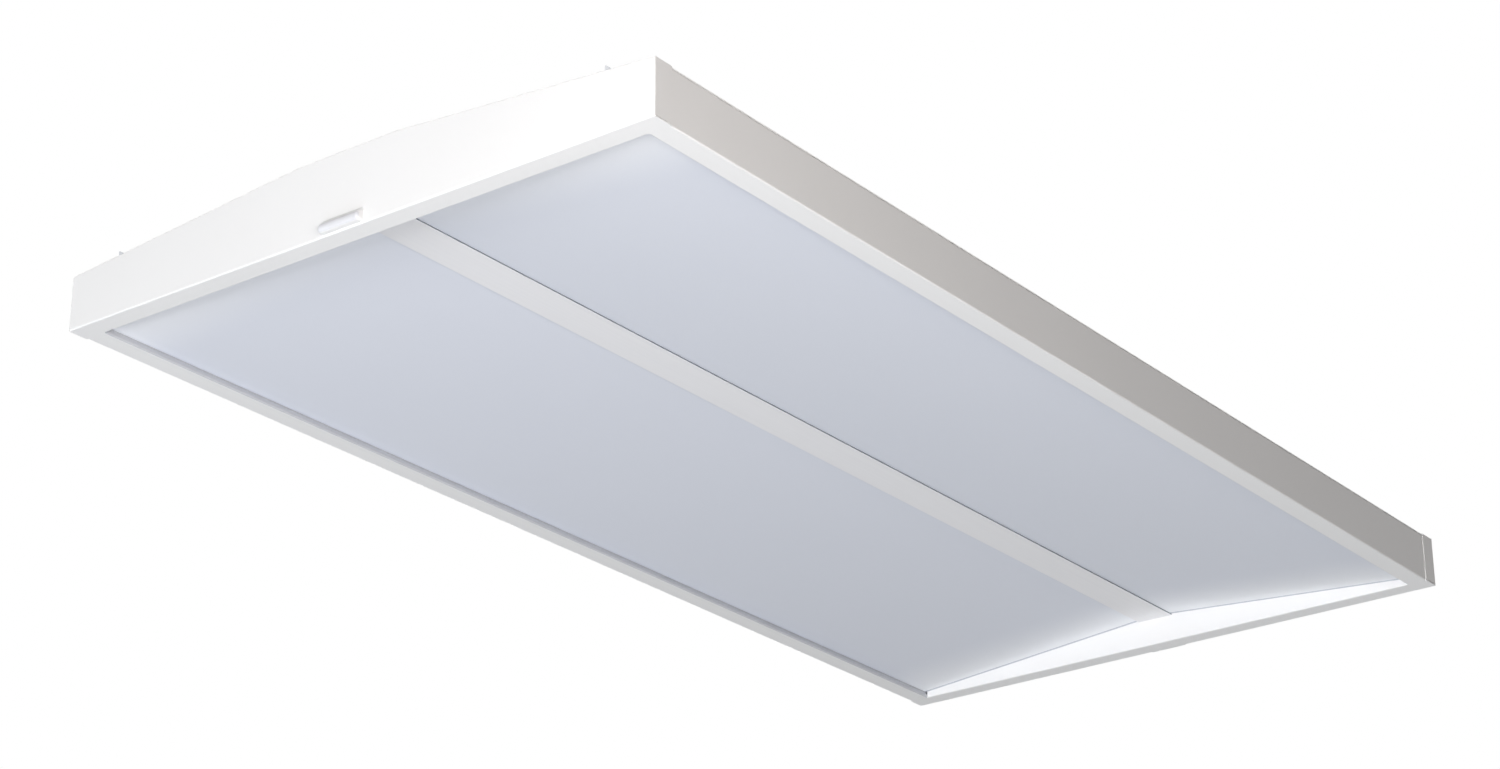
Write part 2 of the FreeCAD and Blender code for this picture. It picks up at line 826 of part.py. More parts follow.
def bead(base_z):
    """Stiffening bead of the cover: a ring with sloping sides that stands on this height."""
    top = base_z + bead_rise
    inner = bead_margin + bead_wide
    outside = tapered_block(base_z, top, bead_margin, bead_margin + bead_slope)
    return outside.cut(tapered_block(base_z, top, inner, inner - bead_slope))


def roll(x_span, strip_end, strip_under):
    """Rolled knuckle with the strip of leaf that it is rolled from."""
    axis = FreeCAD.Vector(1, 0, 0)
    centre = FreeCAD.Vector(x_span[0], hinge_axis_y, hinge_axis_z)
    long = x_span[1] - x_span[0]
    y_span = sorted((hinge_axis_y, strip_end))
    strip = block(x_span, y_span, (strip_under, strip_under + sheet))
    ring = Part.makeCylinder(roll_radius + sheet, long, centre, axis)
    return ring.fuse(strip).cut(Part.makeCylinder(roll_radius, long, centre, axis))


def access_cover():
    """Hinged cover: sheet with a pressed bead, and one rolled knuckle at each hinge."""
    free_edge = cover_screw_y + cover_screw_edge
    hinge_edge = hinge_axis_y + roll_radius + sheet + knuckle_side_gap
    x_span = (opening_start - cover_lap, opening_end + cover_lap)
    z_span = (cover_under, cover_under + sheet)
    panel = block(x_span, (hinge_edge, free_edge), z_span)
    free_corners = [edge for edge in panel.Edges
                    if edge.CenterOfMass.y > free_edge - same and abs(edge.tangentAt(0).z) > 0.99]
    panel = panel.makeChamfer(opening_round, free_corners)
    panel = panel.fuse(bead(cover_under + sheet)).cut(bead(cover_under))
    for x, side in zip(hinge_places, hinge_sides):
        span = sorted((x - side * knuckle_gap, x - side * knuckle))
        panel = panel.fuse(roll(span, hinge_edge + overrun, cover_under))
    top = ridge_height + overrun
    hole = post(screw_radius + hole_clear, cover_screw_x, cover_screw_y, plateau_top, top)
    return panel.cut(hole).removeSplitter()


def cover_screw():
    """Captive screw in the cover's free edge."""
    fixing = screw(sheet + cover_screw_long)
    fixing.translate(FreeCAD.Vector(cover_screw_x, cover_screw_y, cover_under + sheet))
    return fixing


def hinge_leaf(x, side):
    """Fixed leaf of one hinge, with the rolled knuckle on this side of its middle."""
    near_edge = hinge_axis_y - roll_radius - sheet - knuckle_side_gap
    far_edge = hinge_axis_y - leaf_reach
    leaf = block((x - knuckle, x + knuckle), (far_edge, near_edge), (plateau_top, ridge_height))
    span = sorted((x + side * knuckle_gap, x + side * knuckle))
    return leaf.fuse(roll(span, near_edge - overrun, plateau_top)).removeSplitter()


def hinge_pin(x):
    """Plain pin of one hinge, through both of its knuckles."""
    start = FreeCAD.Vector(x - knuckle, hinge_axis_y, hinge_axis_z)
    return Part.makeCylinder(pin_radius, 2 * knuckle, start, FreeCAD.Vector(1, 0, 0))


# ---- Fixings to the ceiling --------------------------------------------------------------

def grid_clip(end, side):
    """Swing-out clip, at rest along the end plate's roof flange and pointing at the ridge."""
    half = clip_wide / 2
    tip = clip_long - half
    line = [(-tip, clip_tab + clip_thick), (-tip, 0), (half, 0)]
    clip = sweep(fold(line, [bend], across, clip_thick), -half, half)
    ends = [edge for edge in clip.Edges
            if edge.CenterOfMass.y > half - same and abs(edge.tangentAt(0).z) > 0.99]
    clip = clip.makeChamfer(clip_chamfer, ends)
    clip = clip.cut(post(clip_pivot_radius + running_fit, 0, 0, -overrun, 2 * clip_thick))
    if side < 0:
        clip = mirrored(clip, y=1)
    x, y = end * (half_long - end_rim / 2), side * (half_wide - clip_from_edge)
    return on_roof(clip, x, y, -clip_gap)


def clip_pivot():
    """Hexagon-head stud clinched in the end plate, on which a grid clip turns."""
    under = 2 * clip_gap + clip_thick
    head = hexagon(clip_head_radius, under, under + clip_head)
    return head.fuse(post(clip_pivot_radius, 0, 0, -sheet, under))


def hanger_bracket(end, side):
    """Angle bracket with a hole for a safety wire."""
    line = [(0, hanger_tall), (0, 0), (hanger_foot, 0)]
    half = hanger_wide / 2
    bracket = sweep(fold(line, [bend], lengthwise, hanger_thick), -half, half)
    tops = [edge for edge in bracket.Edges
            if edge.CenterOfMass.z > hanger_tall - same and abs(edge.tangentAt(0).x) > 0.99]
    bracket = bracket.makeChamfer(hanger_chamfer, tops)
    hole = Part.makeCylinder(hanger_hole, 3 * hanger_thick,
                             FreeCAD.Vector(-hanger_thick, 0, hanger_hole_height),
                             FreeCAD.Vector(1, 0, 0))
    bracket = bracket.cut(hole)
    if end > 0:
        bracket = mirrored(bracket, x=1)
    return on_roof(bracket, end * hanger_from_middle, side * hanger_side, sheet)


# ---- The assembly --------------------------------------------------------------------------

def assembly():
    """Every piece of the light, by node name."""
    nodes = {}
    pairs = {
        "side_rail": side_rail(), "diffuser": diffuser(), "diffuser_gasket": gasket(),
        "output_cable": output_cable(), "row_jumper": row_jumper(), "cable_grommet": grommet(),
    }
    for name, left in pairs.items():
        nodes[name + "_left"] = left
        nodes[name + "_right"] = mirrored(left, y=1)

    far = end_plate()
    nodes["end_plate_far"] = far
    nodes["end_plate_near"] = mirrored(far, x=1)
    nodes["roof_panel"] = roof_panel()
    nodes["wireway"] = wireway()
    nodes["centre_spine"] = centre_spine()

    row_names = ("inner", "outer")
    for name, end, side in corners:
        for row_name, row in zip(row_names, board_rows):
            nodes[f"lamp_board_{name}_{row_name}"] = lamp_board(end, side, row)
        nodes[f"grid_clip_{name}"] = grid_clip(end, side)
        nodes[f"hanger_bracket_{name}"] = hanger_bracket(end, side)

    nodes["board_connectors"] = Part.makeCompound(board_connectors())
    nodes["board_bridges"] = Part.makeCompound(board_bridges())
    nodes["led_driver"] = led_driver()
    nodes["supply_lead_line"] = supply_lead(-lead_side)
    nodes["supply_lead_neutral"] = supply_lead(0)
    nodes["ground_lead"] = ground_lead()
    nodes["ground_terminal"] = ground_terminal()
    nodes["ground_screw"] = ground_screw()
    nodes["disconnect_plug"] = disconnect_plug()
    nodes["disconnect_socket"] = disconnect_socket()

    nodes["access_cover"] = access_cover()
    nodes["cover_screw"] = cover_screw()
    for name, x, side in zip(("near", "far"), hinge_places, hinge_sides):
        nodes[f"hinge_leaf_{name}"] = hinge_leaf(x, side)
        nodes[f"hinge_pin_{name}"] = hinge_pin(x)

    nodes["spine_screws"] = Part.makeCompound(
        [placed_screw(x, 0, wireway_floor) for x in spine_screws_x])
    pivot = clip_pivot()
    nodes["clip_pivots"] = Part.makeCompound([on_roof(pivot, x, y, 0) for x, y in clip_places()])
    nodes["lamps"] = Part.makeCompound(lamps())
    return nodes


os.makedirs("parts", exist_ok=True)
for node, shape in assembly().items():
    shape.exportStep(f"parts/{node}.step")
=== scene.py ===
import math

import bpy
from mathutils import Matrix, Vector


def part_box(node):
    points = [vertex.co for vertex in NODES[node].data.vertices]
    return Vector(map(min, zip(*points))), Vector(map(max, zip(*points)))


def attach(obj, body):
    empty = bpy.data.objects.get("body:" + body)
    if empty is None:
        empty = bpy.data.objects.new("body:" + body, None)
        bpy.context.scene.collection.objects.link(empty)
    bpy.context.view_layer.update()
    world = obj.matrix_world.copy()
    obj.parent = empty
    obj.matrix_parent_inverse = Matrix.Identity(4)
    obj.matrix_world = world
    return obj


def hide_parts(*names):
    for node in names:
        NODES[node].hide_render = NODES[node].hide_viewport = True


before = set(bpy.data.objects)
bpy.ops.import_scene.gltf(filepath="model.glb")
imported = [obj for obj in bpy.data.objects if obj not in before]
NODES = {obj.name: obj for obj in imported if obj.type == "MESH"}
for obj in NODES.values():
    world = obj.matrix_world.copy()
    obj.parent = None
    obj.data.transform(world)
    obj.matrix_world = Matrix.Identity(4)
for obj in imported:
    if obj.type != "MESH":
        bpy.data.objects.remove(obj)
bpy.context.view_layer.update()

MM = 0.001


# ---- Camera ----------------------------------------------------------------------------
# The light hangs overhead and is seen from below, from beyond its near right corner,
# through a long lens that looks up at it.
CAMERA_PLACE = Vector((-2.2719, -1.6396, -1.1434))
CAMERA_AZIMUTH = math.radians(36.99)
CAMERA_ELEVATION = math.radians(23.65)
CAMERA_ROLL = math.radians(-0.25)
CAMERA_LENS = 81.9

level = math.cos(CAMERA_ELEVATION)
ahead = Vector((math.cos(CAMERA_AZIMUTH) * level, math.sin(CAMERA_AZIMUTH) * level,
                math.sin(CAMERA_ELEVATION)))
right = ahead.cross(Vector((0, 0, 1))).normalized()
up = right.cross(ahead)
right, up = (right * math.cos(CAMERA_ROLL) + up * math.sin(CAMERA_ROLL),
             up * math.cos(CAMERA_ROLL) - right * math.sin(CAMERA_ROLL))
camera_data = bpy.data.cameras.new("camera")
camera_data.lens = CAMERA_LENS
camera_data.sensor_width = 36
camera_data.clip_end = 100
camera = bpy.data.objects.new("camera", camera_data)
camera.matrix_world = Matrix.Translation(CAMERA_PLACE) @ Matrix(
    (right, up, -ahead)).transposed().to_4x4()
bpy.context.scene.collection.objects.link(camera)
bpy.context.scene.camera = camera


# ---- Room ------------------------------------------------------------------------------
# A pale studio: an even surrounding glow that reads as white behind the light, a pale
# floor far below it, and large soft lamps, most of them low and towards its near end.
ROOM_GLOW = (0.081, 0.08, 0.08)
FLOOR_COLOUR = "DADAD8"
FLOOR_WIDE = 40.0
FLOOR_DEEP = 7.5
FLOOR_FADE = (6.0, 10.0)
FLOOR_EVEN_SHARE = 0.75
WHITE = (1.0, 1.0, 1.0)
COOL = (0.86, 0.92, 1.0)
WARM = (1.0, 0.94, 0.9)
# Each lamp's place and width in metres, its power in watts and its colour.
LAMPS = {
    "end_lamp": ((-5.0, -0.3, -1.5), 1.6, 143, WHITE),
    "under_lamp": ((-1.9, -0.2, -2.3), 1.8, 29.5, COOL),
    "far_lamp": ((1.0, -0.5, -2.6), 1.8, 9, WHITE),
    "corner_lamp": ((-1.2, -1.1, -0.5), 0.6, 9.5, WARM),
    "side_lamp": ((0.3, -3.2, -0.8), 1.8, 8, WARM),
    "top_lamp": ((0.5, 0.5, 4.0), 3.0, 115, WHITE),
    "back_lamp": ((4.0, 3.2, 1.5), 2.5, 140, WHITE),
}


def add_node(tree, kind, settings=None, links=None):
    """Add one node with its properties or socket values, and its links by socket."""
    node = tree.nodes.new(kind)
    for name, value in (settings or {}).items():
        if isinstance(name, int) or name in node.inputs:
            node.inputs[name].default_value = value
        else:
            setattr(node, name, value)
    for name, source in (links or {}).items():
        tree.links.new(source, node.inputs[name])
    return node


def linear(hex_code):
    """Linear colour, with alpha, from an sRGB hex code."""
    parts = [int(hex_code[at:at + 2], 16) / 255 for at in (0, 2, 4)]
    return [part / 12.92 if part <= 0.04045 else ((part + 0.055) / 1.055) ** 2.4
            for part in parts] + [1.0]


world = bpy.data.worlds.new("pale_room")
bpy.context.scene.world = world
world.use_nodes = True
tree = world.node_tree
tree.nodes.clear()
ray = add_node(tree, "ShaderNodeLightPath")
seen = add_node(tree, "ShaderNodeMath", {"operation": "MAXIMUM"},
                {0: ray.outputs["Is Camera Ray"], 1: ray.outputs["Is Glossy Ray"]})
seen = add_node(tree, "ShaderNodeMath", {"operation": "MAXIMUM"},
                {0: seen.outputs[0], 1: ray.outputs["Is Transmission Ray"]})
glow = add_node(tree, "ShaderNodeBackground", {"Color": (*ROOM_GLOW, 1)})
white = add_node(tree, "ShaderNodeBackground", {"Color": (1, 1, 1, 1)})
both = add_node(tree, "ShaderNodeMixShader", {},
                {0: seen.outputs[0], 1: glow.outputs[0], 2: white.outputs[0]})
add_node(tree, "ShaderNodeOutputWorld", {}, {"Surface": both.outputs[0]})

for name, (place, wide, power, tint) in LAMPS.items():
    data = bpy.data.lights.new(name, "AREA")
    data.shape = "SQUARE"
    data.size = wide
    data.energy = power
    data.color = tint
    lamp = bpy.data.objects.new(name, data)
    lamp.location = place
    lamp.rotation_euler = (-Vector(place)).to_track_quat("-Z", "Y").to_euler()
    lamp.visible_camera = False
    bpy.context.scene.collection.objects.link(lamp)

half = FLOOR_WIDE / 2
mesh = bpy.data.meshes.new("floor")
corners = [(-half, -half), (half, -half), (half, half), (-half, half)]
mesh.from_pydata([(x, y, -FLOOR_DEEP) for x, y in corners], [], [(0, 1, 2, 3)])
floor = bpy.data.objects.new("floor", mesh)
bpy.context.scene.collection.objects.link(floor)
floor_paint = bpy.data.materials.new("matt_painted_floor")
floor_paint.use_nodes = True
tree = floor_paint.node_tree
tree.nodes.clear()
ray = add_node(tree, "ShaderNodeLightPath")
paint = add_node(tree, "ShaderNodeBsdfDiffuse", {"Color": linear(FLOOR_COLOUR)})
white = add_node(tree, "ShaderNodeEmission", {"Color": (1, 1, 1, 1)})
pale = add_node(tree, "ShaderNodeEmission", {"Color": linear(FLOOR_COLOUR)})
# Seen straight, the floor keeps a quarter of its own light and shade, and fades to white
# far from the light.
seen = add_node(tree, "ShaderNodeMath", {"operation": "MULTIPLY", 1: FLOOR_EVEN_SHARE},
                {0: ray.outputs["Is Camera Ray"]})
place = add_node(tree, "ShaderNodeTexCoord").outputs["Object"]
flat = add_node(tree, "ShaderNodeVectorMath", {"operation": "MULTIPLY", 1: (1, 1, 0)}, {0: place})
reach = add_node(tree, "ShaderNodeVectorMath", {"operation": "LENGTH"}, {0: flat.outputs[0]})
fade = add_node(tree, "ShaderNodeMapRange", {"From Min": FLOOR_FADE[0], "From Max": FLOOR_FADE[1]},
                {"Value": reach.outputs["Value"]})
far = add_node(tree, "ShaderNodeMath", {"operation": "MULTIPLY"},
               {0: fade.outputs[0], 1: ray.outputs["Is Camera Ray"]})
both = add_node(tree, "ShaderNodeMixShader", {},
                {0: seen.outputs[0], 1: paint.outputs[0], 2: pale.outputs[0]})
for share in (far.outputs[0], ray.outputs["Is Glossy Ray"]):
    both = add_node(tree, "ShaderNodeMixShader", {},
                    {0: share, 1: both.outputs[0], 2: white.outputs[0]})
add_node(tree, "ShaderNodeOutputMaterial", {}, {"Surface": both.outputs[0]})
floor.data.materials.append(floor_paint)


# ---- Housing: roof panel, side rails, end plates, wireway and access cover -------------
# Folded from 0.8 mm cold-rolled steel and powder coated white after folding. The rails are
# clinched to the roof, and the end plates wrap over their ends.
HOUSING_COLOURS = ("F2F2F2", "EEEEEE")
PEEL_MM = 2.4
PEEL_HIGH_MM = 0.02
CLOUD_MM = 140.0
COAT_GLOSS = (0.36, 0.42)
COAT_IOR = 1.5
BUMP_STRENGTH = 0.5
RETURN_INSIDE = 281.4
RETURN_TONE = "C6C8CD"
LUG_OUTSIDE = 611.5
LUG_TONE = "DADBDF"


def bare_surface(name):
    """Empty material, its node tree and its object coordinates."""
    made = bpy.data.materials.new(name)
    made.use_nodes = True
    made.node_tree.nodes.clear()
    return made, made.node_tree, add_node(made.node_tree, "ShaderNodeTexCoord").outputs["Object"]


def coat_surface(tree, pattern, colours, gloss, raised=None, high_mm=0.0, edge=None, **set_on_shader):
    """Colour that runs between two hex colours, and roughness between two values, by one
    pattern, with a second pattern raised this many millimetres. An edge has a colour of its
    own outside or inside a distance in millimetres from the middle, along one axis."""
    tones = add_node(tree, "ShaderNodeMix",
                     {"data_type": "RGBA", 6: linear(colours[0]), 7: linear(colours[1])}, {0: pattern})
    # In this script every edge colour is painted shade: on the rails' inner returns, the lugs' faces,
    # the spine's long edges and the diffusers' ends.
    if edge:
        axis, test, limit, tone = edge
        place = add_node(tree, "ShaderNodeTexCoord").outputs["Object"]
        split = add_node(tree, "ShaderNodeSeparateXYZ", {}, {0: place})
        away = add_node(tree, "ShaderNodeMath", {"operation": "ABSOLUTE"}, {0: split.outputs[axis]})
        there = add_node(tree, "ShaderNodeMath", {"operation": test, 1: limit * MM},
                         {0: away.outputs[0]})
        tones = add_node(tree, "ShaderNodeMix", {"data_type": "RGBA", 7: linear(tone)},
                         {0: there.outputs[0], 6: tones.outputs[2]})
    rough = add_node(tree, "ShaderNodeMapRange", {"To Min": gloss[0], "To Max": gloss[1]},
                     {"Value": pattern})
    links = {"Base Color": tones.outputs[2], "Roughness": rough.outputs[0]}
    if raised:
        bump = add_node(tree, "ShaderNodeBump", {"Strength": BUMP_STRENGTH, "Distance": high_mm * MM},
                        {"Height": raised})
        links["Normal"] = bump.outputs[0]
    shader = add_node(tree, "ShaderNodeBsdfPrincipled", set_on_shader, links)
    add_node(tree, "ShaderNodeOutputMaterial", {}, {"Surface": shader.outputs[0]})


def powder_coat(name, colours, peel_mm, edge=None):
    """Baked polyester powder on steel: a satin white that drifts a little in tone, with the
    shallow orange peel of the cured film. Real peel is 1 to 2 mm across, drawn coarser to show."""
    made, tree, place = bare_surface(name)
    cloud = add_node(tree, "ShaderNodeTexNoise", {"Scale": 1 / (CLOUD_MM * MM)}, {"Vector": place})
    peel = add_node(tree, "ShaderNodeTexNoise", {"Scale": 1 / (peel_mm * MM)}, {"Vector": place})
    coat_surface(tree, cloud.outputs["Fac"], colours, COAT_GLOSS, peel.outputs["Fac"], PEEL_HIGH_MM,
                 edge, IOR=COAT_IOR)
    return made


def dress(names, material):
    """Give CAD pieces their finish."""
    for name in names:
        for slot in NODES[name].material_slots:
            slot.material = material


housing_coat = powder_coat("powder_coated_steel", HOUSING_COLOURS, PEEL_MM)
dress(["roof_panel", "access_cover", "wireway"], housing_coat)
# The rails' inner returns and the faces of the drawn lugs are a greyer tone, which stands for
# shade that the lamps don't give.
dress(["side_rail_left", "side_rail_right"],
      powder_coat("powder_coated_rails", HOUSING_COLOURS, PEEL_MM,
                  ("Y", "LESS_THAN", RETURN_INSIDE, RETURN_TONE)))
dress(["end_plate_near", "end_plate_far"],
      powder_coat("powder_coated_end_plates", HOUSING_COLOURS, PEEL_MM,
                  ("X", "GREATER_THAN", LUG_OUTSIDE, LUG_TONE)))


# ---- Blind rivets and clinch buttons ---------------------------------------------------
# Aluminium blind rivets, 3.2 mm, with a domed head and the broken stem in its middle. They
# hold the end flanges, the wireway, the hangers, the hinges and the boards. The buttons are
# clinched up along the roof's long edges, where it lies on the rails, and coated with it.
RIVET_HEAD = 3.1
RIVET_RISE = 1.0
STEM_RADIUS = 0.9
STEM_SHARE = 2.3
TOOL_MARK_MM = 1.5
FLANGE_RIVETS_X = 596.5
FLANGE_RIVETS_Y = (105.0, 210.0)
WIREWAY_RIVETS_X = (240.0, 480.0)
WIREWAY_RIVETS_Y = 57.5
HANGER_X = 472.0
HANGER_Y = 150.0
HANGER_RIVET_STEP = 4.5
BOARD_ROWS = (100.0, 200.0)
BOARD_RIVETS_X = (91.0, 468.5)
BOARD_RIVET_OUT = 6.0
HINGES_X = (0.0, 260.0)
HINGE_RIVETS_Y = -44.2
HINGE_RIVET_STEP = 8.0
BUTTON_RADIUS = 3.0
BUTTON_RISE = 0.45
BUTTON_STEP = 120.0
BUTTON_COUNT = 9
BUTTON_Y = 294.0
SMOOTH_BELOW = math.radians(40)
EAVES = 48.4
RIDGE = 69.2
HALF_WIDE = 301.5
HALF_PLATEAU = 50.0
SHEET = 0.8
HANGER_THICK = 1.2
RIVET_COLOURS = ("C6C8CB", "A2A5A9")
RIVET_GLOSS = (0.34, 0.5)

roof_fall = (RIDGE - EAVES) / (HALF_WIDE - HALF_PLATEAU)
roof_tilt = math.atan(roof_fall)


def on_roof(x, y, lift):
    """A place on the roof, lifted off its outer face, and the tilt of the roof there."""
    if abs(y) <= HALF_PLATEAU:
        return (x, y, RIDGE + lift), 0.0
    height = RIDGE - (abs(y) - HALF_PLATEAU) * roof_fall + lift / math.cos(roof_tilt)
    return (x, y, height), -math.copysign(roof_tilt, y)


rivet_places, button_places = [], []
for side in (-1, 1):
    for end in (-1, 1):
        rivet_places += [on_roof(end * FLANGE_RIVETS_X, side * y, 0) for y in FLANGE_RIVETS_Y]
        rivet_places += [on_roof(end * x, side * WIREWAY_RIVETS_Y, -SHEET) for x in WIREWAY_RIVETS_X]
        rivet_places += [on_roof(end * HANGER_X, side * (HANGER_Y + step), HANGER_THICK - SHEET)
                         for step in (-HANGER_RIVET_STEP, HANGER_RIVET_STEP)]
        rivet_places += [on_roof(end * x, side * (row + BOARD_RIVET_OUT), -SHEET)
                         for row in BOARD_ROWS for x in BOARD_RIVETS_X]
    button_places += [on_roof((index - (BUTTON_COUNT - 1) / 2) * BUTTON_STEP, side * BUTTON_Y, -SHEET)
                      for index in range(BUTTON_COUNT)]
rivet_places += [on_roof(hinge + step, HINGE_RIVETS_Y, 0)
                 for hinge in HINGES_X for step in (-HINGE_RIVET_STEP, HINGE_RIVET_STEP)]

rivet_metal, tree, place = bare_surface("cold_headed_aluminium")
# Cold-headed aluminium: a soft bright grey with the faint marks of the setting tool.
marks = add_node(tree, "ShaderNodeTexNoise", {"Scale": 1 / (TOOL_MARK_MM * MM)},
                 {"Vector": place})
coat_surface(tree, marks.outputs["Fac"], RIVET_COLOURS, RIVET_GLOSS, Metallic=1.0)


def begin_group(name, sizes):
    """Geometry node group with these named sizes in millimetres, and its input node."""
    group = bpy.data.node_groups.new(name, "GeometryNodeTree")
    group.interface.new_socket("Geometry", in_out="INPUT", socket_type="NodeSocketGeometry")
    for size, value in sizes.items():
        group.interface.new_socket(size, in_out="INPUT",
                                   socket_type="NodeSocketFloat").default_value = value * MM
    group.interface.new_socket("Material", in_out="INPUT", socket_type="NodeSocketMaterial")
    group.interface.new_socket("Geometry", in_out="OUTPUT", socket_type="NodeSocketGeometry")
    return group, add_node(group, "NodeGroupInput")


def end_group(group, start, form):
    """Set a form on every point, turned by its tilt, and give the copies their material."""
    tilt = add_node(group, "GeometryNodeInputNamedAttribute", {"data_type": "FLOAT", "Name": "tilt"})
    turn = add_node(group, "ShaderNodeCombineXYZ", {}, {"X": tilt.outputs["Attribute"]})
    placed = add_node(group, "GeometryNodeInstanceOnPoints", {},
                      {"Points": start.outputs["Geometry"], "Instance": form,
                       "Rotation": turn.outputs[0]})
    real = add_node(group, "GeometryNodeRealizeInstances", {}, {"Geometry": placed.outputs[0]})
    angle = add_node(group, "GeometryNodeInputMeshEdgeAngle")
    soft = add_node(group, "ShaderNodeMath", {"operation": "LESS_THAN", 1: SMOOTH_BELOW},
                    {0: angle.outputs["Unsigned Angle"]})
    faces = add_node(group, "GeometryNodeSetShadeSmooth", {"Shade Smooth": True},
                     {"Geometry": real.outputs[0]})
    edges = add_node(group, "GeometryNodeSetShadeSmooth", {"domain": "EDGE"},
                     {"Geometry": faces.outputs[0], "Shade Smooth": soft.outputs[0]})
    skin = add_node(group, "GeometryNodeSetMaterial", {},
                    {"Geometry": edges.outputs[0], "Material": start.outputs["Material"]})
    add_node(group, "NodeGroupOutput", {}, {0: skin.outputs[0]})


def scatter(name, spots, group, material, body, sizes=None):
    """Run a node group on placed, tilted points and keep its result as one plain piece."""
    mesh = bpy.data.meshes.new(name + "_spots")
    mesh.from_pydata([Vector(spot) * MM for spot, _ in spots], [], [])
    mesh.attributes.new("tilt", "FLOAT", "POINT").data.foreach_set("value", [t for _, t in spots])
    seed = bpy.data.objects.new(name + "_spots", mesh)
    bpy.context.scene.collection.objects.link(seed)
    modifier = seed.modifiers.new("pieces", "NODES")
    modifier.node_group = group
    values = {"Material": material, **(sizes or {})}
    for item in group.interface.items_tree:
        if item.in_out == "INPUT" and item.name in values:
            modifier[item.identifier] = values[item.name]
    shape = seed.evaluated_get(bpy.context.evaluated_depsgraph_get())
    made = bpy.data.objects.new(name, bpy.data.meshes.new_from_object(shape))
    made.data.name = name
    bpy.data.objects.remove(seed)
    bpy.context.scene.collection.objects.link(made)
    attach(made, body)
    return made


rivets, start = begin_group("blind_rivets", {"Head radius": RIVET_HEAD, "Head rise": RIVET_RISE,
                                             "Stem radius": STEM_RADIUS})
squash = add_node(rivets, "ShaderNodeCombineXYZ", {},
                  {"X": start.outputs["Head radius"], "Y": start.outputs["Head radius"],
                   "Z": start.outputs["Head rise"]})
ball = add_node(rivets, "GeometryNodeMeshUVSphere", {"Segments": 24, "Rings": 12, "Radius": 1.0})
head = add_node(rivets, "GeometryNodeTransform", {},
                {"Geometry": ball.outputs["Mesh"], "Scale": squash.outputs[0]})
tall = add_node(rivets, "ShaderNodeMath", {"operation": "MULTIPLY", 1: STEM_SHARE},
                {0: start.outputs["Head rise"]})
stem = add_node(rivets, "GeometryNodeMeshCylinder", {"Vertices": 14},
                {"Radius": start.outputs["Stem radius"], "Depth": tall.outputs[0]})
joined = add_node(rivets, "GeometryNodeJoinGeometry", {}, {0: head.outputs[0]})
rivets.links.new(stem.outputs["Mesh"], joined.inputs[0])
end_group(rivets, start, joined.outputs[0])
scatter("sheet_rivets", rivet_places, rivets, rivet_metal, "light")

# A clinch button is a raised round rim about a lower flat middle.
buttons, start = begin_group("clinch_buttons", {"Radius": BUTTON_RADIUS, "Rise": BUTTON_RISE})
path = add_node(buttons, "GeometryNodeCurvePrimitiveCircle", {"Resolution": 24},
                {"Radius": start.outputs["Radius"]})
section = add_node(buttons, "GeometryNodeCurvePrimitiveCircle", {"Resolution": 8},
                   {"Radius": start.outputs["Rise"]})
rim = add_node(buttons, "GeometryNodeCurveToMesh", {},
               {"Curve": path.outputs["Curve"], "Profile Curve": section.outputs["Curve"]})
middle = add_node(buttons, "GeometryNodeMeshCylinder", {"Vertices": 24},
                  {"Radius": start.outputs["Radius"], "Depth": start.outputs["Rise"]})
joined = add_node(buttons, "GeometryNodeJoinGeometry", {}, {0: rim.outputs[0]})
buttons.links.new(middle.outputs["Mesh"], joined.inputs[0])
end_group(buttons, start, joined.outputs[0])
scatter("clinch_buttons", button_places, buttons, housing_coat, "light")


# ---- Spine and its screws --------------------------------------------------------------
# The spine is an aluminium extrusion, powder coated white, whose skin keeps faint lines along
# its length. It hangs from the wireway by hexagon washer-head screws, zinc plated.
SPINE_COLOURS = ("F1F1F3", "EBEBEE")
SPINE_GLOSS = (0.34, 0.4)
SPINE_EDGE = "6C727B"
SPINE_HALF = 19.2
EDGE_SKIN = 0.05
DIE_LINE_MM = 1.6
DIE_LINE_HIGH_MM = 0.01
DIE_LINE_STRETCH = 0.01
ZINC_COLOURS = ("CDD0D4", "A9ADB2")
ZINC_GLOSS = (0.36, 0.52)
SPANGLE_MM = 9.0
CAD_HEAD_REACH = 2.94
SCREW_SIZES = {"Head radius": 2.9, "Head height": 1.8, "Washer radius": 3.4, "Washer height": 0.5,
               "Shank radius": 1.6, "Shank length": 2.4}

spine_coat, tree, place = bare_surface("powder_coated_extrusion")
# Coated extrusion: as white as the housing, a little smoother, with die lines along it. Its
# thin long edges are a dark tone, which stands for the line of shade beside the diffusers.
along = add_node(tree, "ShaderNodeMapping", {"Scale": (DIE_LINE_STRETCH, 1, 1)}, {"Vector": place})
lines = add_node(tree, "ShaderNodeTexNoise", {"Scale": 1 / (DIE_LINE_MM * MM)},
                 {"Vector": along.outputs[0]})
coat_surface(tree, lines.outputs["Fac"], SPINE_COLOURS, SPINE_GLOSS, lines.outputs["Fac"],
             DIE_LINE_HIGH_MM, ("Y", "GREATER_THAN", SPINE_HALF - EDGE_SKIN, SPINE_EDGE), IOR=COAT_IOR)
dress(["centre_spine"], spine_coat)


def zinc_coat(name, colours, spangle_mm, metal=1.0):
    """Zinc on steel: a cool metallic grey in flat crystals that each catch the light."""
    made, tree, place = bare_surface(name)
    crystals = add_node(tree, "ShaderNodeTexVoronoi", {"Scale": 1 / (spangle_mm * MM)},
                        {"Vector": place})
    grey = add_node(tree, "ShaderNodeSeparateColor", {}, {"Color": crystals.outputs["Color"]})
    coat_surface(tree, grey.outputs[0], colours, ZINC_GLOSS, Metallic=metal)
    return made


plated = zinc_coat("zinc_plated_steel", ZINC_COLOURS, SPANGLE_MM / 4)

